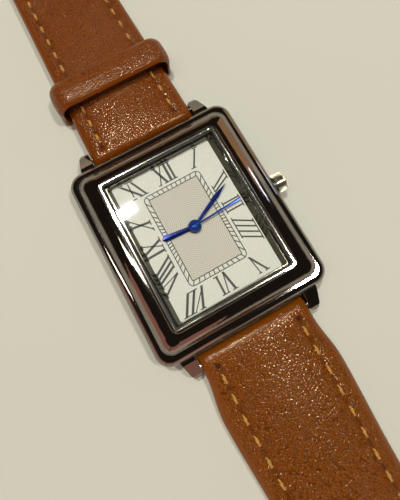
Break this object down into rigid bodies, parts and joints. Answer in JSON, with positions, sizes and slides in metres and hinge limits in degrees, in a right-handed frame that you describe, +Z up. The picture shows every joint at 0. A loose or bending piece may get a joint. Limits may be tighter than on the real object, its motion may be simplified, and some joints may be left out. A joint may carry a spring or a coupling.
{
  "type": "rectangular wristwatch",
  "caption": "Rectangular analogue wristwatch with stepped polished case, crown, three hands and an open two-piece leather strap with keepers and buckle.",
  "frame": {"origin": "centre of the case back's outer face, on the surface that the watch lies on", "axes": "+X towards the crown (3 o'clock), +Y towards 12 o'clock and the buckle, +Z up through the dial"},
  "size_m": [0.0299, 0.2392, 0.007],
  "materials": {
    "case_metal": "highly polished dark gunmetal plating with a warm tint",
    "rim_metal": "bright polished silver",
    "steel": "turned or stamped plain steel",
    "glass": "clear flat mineral crystal",
    "dial": "silver-white, fine grained",
    "hand_blue": "blued, glossy",
    "plastic": "moulded",
    "brass": "stamped and cut",
    "copper": "enamelled copper wire",
    "board": "thin glass-fibre board",
    "seal": "moulded seal",
    "leather": "tan-brown pebbled leather with padded crown",
    "lining": "smooth lining leather"
  },
  "bodies": {
    "case": {"case_body": "case_metal", "crown_tube": "steel", "case_back": "case_metal", "case_back_gasket": "seal", "bezel": "case_metal", "crystal": "glass", "crystal_gasket": "seal", "dial_ring": "rim_metal", "dial": "dial", "movement_holder": "plastic", "main_plate": "plastic", "train_bridge": "brass", "movement_screws": "steel", "coil_core": "steel", "coil_winding": "copper", "stator": "steel", "battery": "steel", "battery_clamp": "steel", "circuit_board": "board", "quartz_can": "steel"},
    "second_set": {"second_hand": "hand_blue", "seconds_wheel": "brass"},
    "minute_set": {"minute_hand": "hand_blue", "cannon_pinion": "brass"},
    "hour_set": {"hour_hand": "hand_blue", "hour_wheel": "brass"},
    "third_wheel_set": {"third_wheel": "brass"},
    "fifth_wheel_set": {"fifth_wheel": "brass"},
    "minute_wheel_set": {"minute_wheel": "brass"},
    "rotor_set": {"rotor": "steel"},
    "clutch_set": {"clutch_pinion": "steel"},
    "crown_set": {"crown": "rim_metal", "stem": "steel", "crown_gasket": "seal"},
    "lever_set": {"setting_lever": "steel"},
    "strap_12": {"strap_12_top": "leather", "strap_12_lining": "lining", "fixed_keeper": "leather", "strap_bar_12": "steel", "buckle_bar": "steel"},
    "strap_6": {"strap_6_top": "leather", "strap_6_lining": "lining", "strap_bar_6": "steel"},
    "keeper_set": {"free_keeper": "leather"},
    "buckle": {"buckle_frame": "case_metal"},
    "tongue": {"buckle_tongue": "case_metal"},
    "pin_12_right": {"strap_bar_pin_12_right": "steel"},
    "pin_12_left": {"strap_bar_pin_12_left": "steel"},
    "pin_6_right": {"strap_bar_pin_6_right": "steel"},
    "pin_6_left": {"strap_bar_pin_6_left": "steel"}
  },
  "joints": [
    {"name": "second_turn", "type": "hinge", "parent": "case", "child": "second_set", "pos_m": [0, 0, 0.005], "axis": [0, 0, 1], "continuous": true},
    {"name": "minute_turn", "type": "hinge", "parent": "case", "child": "minute_set", "pos_m": [0, 0, 0.004], "axis": [0, 0, 1], "continuous": true},
    {"name": "hour_turn", "type": "hinge", "parent": "case", "child": "hour_set", "pos_m": [0, 0, 0.0045], "axis": [0, 0, 1], "continuous": true},
    {"name": "third_wheel_turn", "type": "hinge", "parent": "case", "child": "third_wheel_set", "pos_m": [-0.00182, 0.00105, 0.0022], "axis": [0, 0, 1], "continuous": true},
    {"name": "fifth_wheel_turn", "type": "hinge", "parent": "case", "child": "fifth_wheel_set", "pos_m": [0.00188, 0.00157, 0.0022], "axis": [0, 0, 1], "continuous": true},
    {"name": "minute_wheel_turn", "type": "hinge", "parent": "case", "child": "minute_wheel_set", "pos_m": [0.00072, -0.00197, 0.0037], "axis": [0, 0, 1], "continuous": true},
    {"name": "rotor_turn", "type": "hinge", "parent": "case", "child": "rotor_set", "pos_m": [0.00217, 0.00325, 0.002], "axis": [0, 0, 1], "continuous": true},
    {"name": "crown_turn", "type": "hinge", "parent": "case", "child": "clutch_set", "pos_m": [0.0052, 0, 0.00285], "axis": [1, 0, 0], "continuous": true},
    {"name": "crown_pull", "type": "slide", "parent": "clutch_set", "child": "crown_set", "axis": [1, 0, 0], "range_m": [0, 0.0009]},
    {"name": "lever_swing", "type": "hinge", "parent": "case", "child": "lever_set", "pos_m": [0.00675, 0.0026, 0.0036], "axis": [0, 0, 1], "range_deg": [0, 19.65]},
    {"name": "strap_12_swing", "type": "hinge", "parent": "case", "child": "strap_12", "pos_m": [0, 0.0178, 0.0022], "axis": [1, 0, 0], "range_deg": [-90, 80]},
    {"name": "strap_6_swing", "type": "hinge", "parent": "case", "child": "strap_6", "pos_m": [0, -0.0178, 0.0022], "axis": [-1, 0, 0], "range_deg": [-90, 80]},
    {"name": "keeper_slide", "type": "slide", "parent": "strap_12", "child": "keeper_set", "axis": [0, 1, 0], "range_m": [-0.0023, 0.047]},
    {"name": "buckle_swing", "type": "hinge", "parent": "strap_12", "child": "buckle", "pos_m": [0, 0.0928, 0.00245], "axis": [1, 0, 0], "range_deg": [-60, 70]},
    {"name": "tongue_swing", "type": "hinge", "parent": "buckle", "child": "tongue", "pos_m": [0, 0.0928, 0.00245], "axis": [1, 0, 0], "range_deg": [0, 70]},
    {"name": "pin_12_right_press", "type": "slide", "parent": "strap_12", "child": "pin_12_right", "axis": [-1, 0, 0], "range_m": [0, 0.0009], "stiffness_N_per_m": 150},
    {"name": "pin_12_left_press", "type": "slide", "parent": "strap_12", "child": "pin_12_left", "axis": [1, 0, 0], "range_m": [0, 0.0009], "stiffness_N_per_m": 150},
    {"name": "pin_6_right_press", "type": "slide", "parent": "strap_6", "child": "pin_6_right", "axis": [-1, 0, 0], "range_m": [0, 0.0009], "stiffness_N_per_m": 150},
    {"name": "pin_6_left_press", "type": "slide", "parent": "strap_6", "child": "pin_6_left", "axis": [1, 0, 0], "range_m": [0, 0.0009], "stiffness_N_per_m": 150}
  ],
  "couplings": [
    {"joint": "minute_turn", "follows": "second_turn", "ratio": 0.016667},
    {"joint": "hour_turn", "follows": "second_turn", "ratio": 0.0013889},
    {"joint": "third_wheel_turn", "follows": "second_turn", "ratio": -0.13333},
    {"joint": "fifth_wheel_turn", "follows": "second_turn", "ratio": -3},
    {"joint": "rotor_turn", "follows": "second_turn", "ratio": 30},
    {"joint": "minute_wheel_turn", "follows": "second_turn", "ratio": -0.0055556},
    {"joint": "lever_swing", "follows": "crown_pull", "rad_per_m": 380.84}
  ]
}
